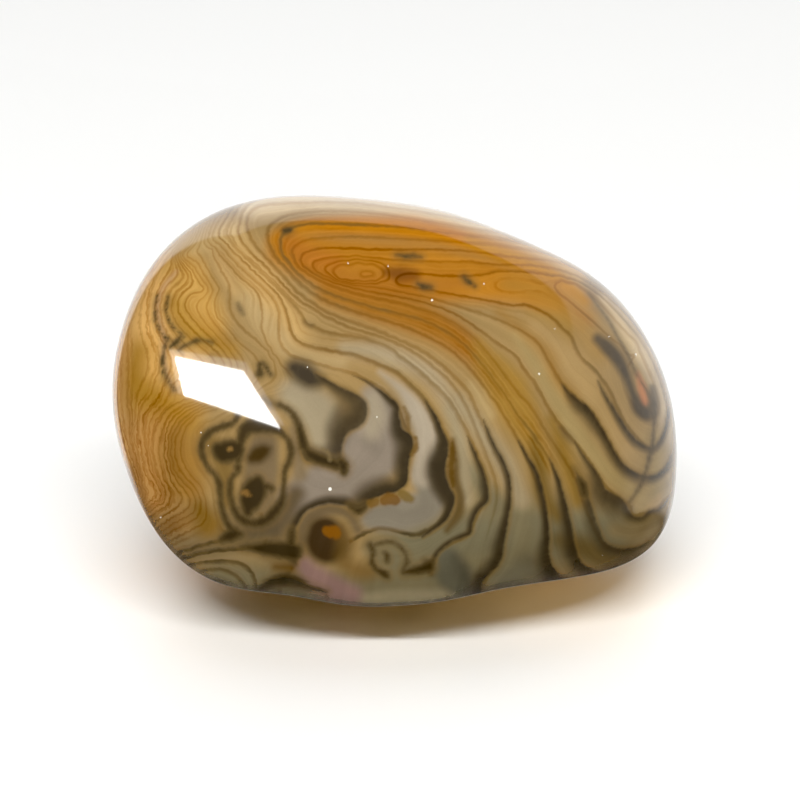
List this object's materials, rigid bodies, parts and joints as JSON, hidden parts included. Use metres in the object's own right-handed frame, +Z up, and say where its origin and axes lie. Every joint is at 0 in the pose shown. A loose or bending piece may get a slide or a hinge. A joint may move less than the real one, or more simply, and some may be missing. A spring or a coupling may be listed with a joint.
{
  "type": "tumbled dendritic agate specimen",
  "caption": "Polished tumbled pebble of banded dendritic agate with a small worn flat to rest on; a display specimen or palm stone.",
  "frame": {"origin": "bottom centre of the bounding box, on the surface that the stone lies on", "axes": "+Z up, +X along the stone's length towards its sloping, tapered end, -Y towards its broad banded face"},
  "size_m": [0.0362, 0.0308, 0.025],
  "materials": {
    "polished_agate": "mirror-polished chalcedony with honey, orange and grey-lavender bands and brown-black dendritic lines"
  },
  "bodies": {
    "root": {"agate": "polished_agate"}
  },
  "joints": []
}
